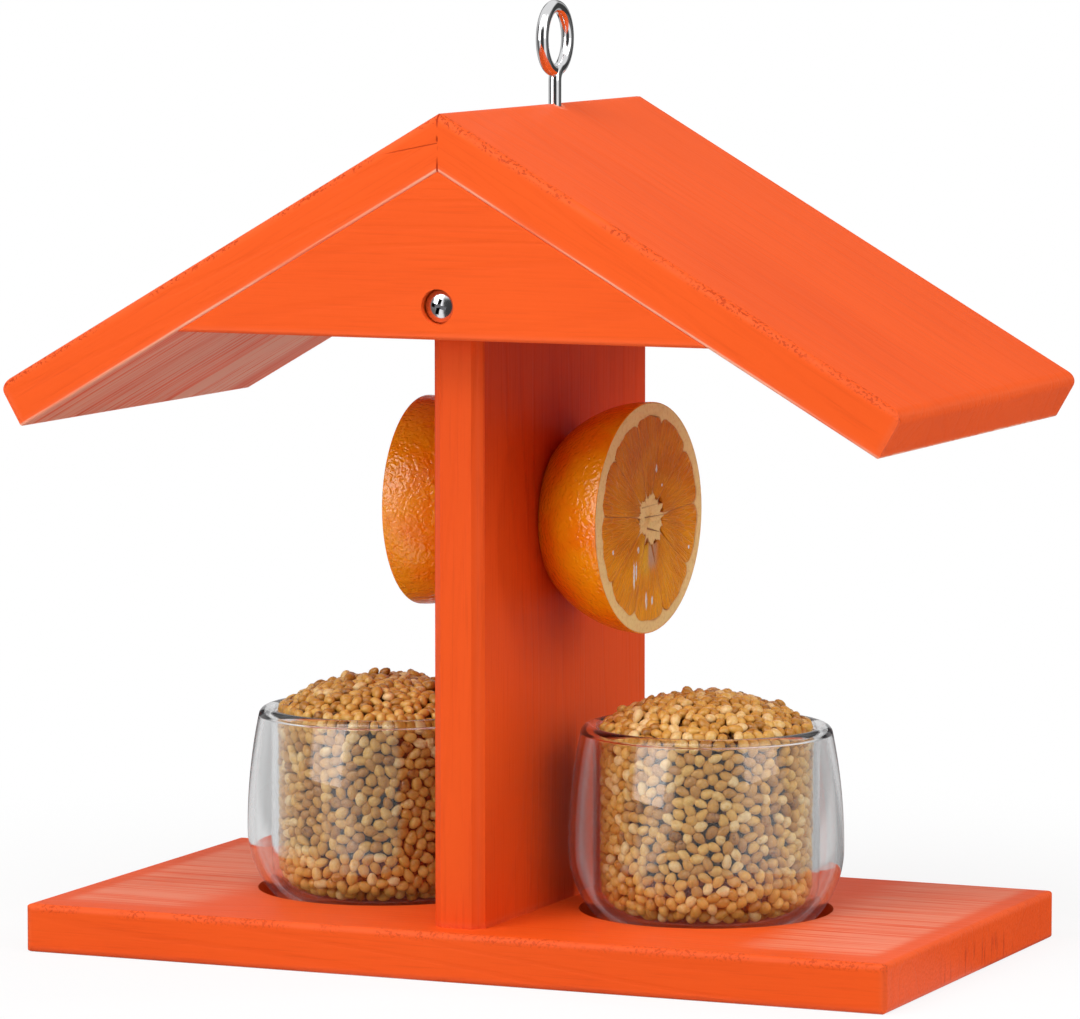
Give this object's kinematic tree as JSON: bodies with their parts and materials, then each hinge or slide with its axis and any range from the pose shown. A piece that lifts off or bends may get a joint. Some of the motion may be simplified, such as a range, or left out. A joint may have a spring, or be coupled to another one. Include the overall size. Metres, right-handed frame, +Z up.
{
  "type": "oriole feeder",
  "caption": "Roofed wooden bird feeder: orange halves sit on a spike through the post, glass seed cups stand in the base, and an eye on the ridge hangs it.",
  "frame": {"origin": "middle of the underside of the base board, on the surface that the feeder stands on", "axes": "+X along the base to the right, +Y along the ridge to the back, +Z up through the post and the eye"},
  "size_m": [0.309, 0.168, 0.3106],
  "materials": {
    "painted_wood": "satin orange paint over fine grain",
    "bright_steel": "bright plated steel",
    "clear_glass": "clear, fire-polished",
    "seed_grain": "dry husked grain, slightly glossy",
    "orange_peel": "dimpled waxy peel",
    "orange_flesh": "wet translucent pulp"
  },
  "bodies": {
    "root": {"base_board": "painted_wood", "post_board": "painted_wood", "roof_board_left": "painted_wood", "roof_board_right": "painted_wood", "gable_front": "painted_wood", "gable_back": "painted_wood", "gable_screw_front": "bright_steel", "gable_screw_back": "bright_steel", "base_screws": "bright_steel", "roof_brads": "bright_steel", "eye_screw": "bright_steel", "fruit_spike": "bright_steel", "cup_left": "clear_glass", "cup_right": "clear_glass", "seed_left": "seed_grain", "seed_right": "seed_grain", "orange_peel_left": "orange_peel", "orange_peel_right": "orange_peel", "orange_flesh_left": "orange_flesh", "orange_flesh_right": "orange_flesh"}
  },
  "joints": []
}
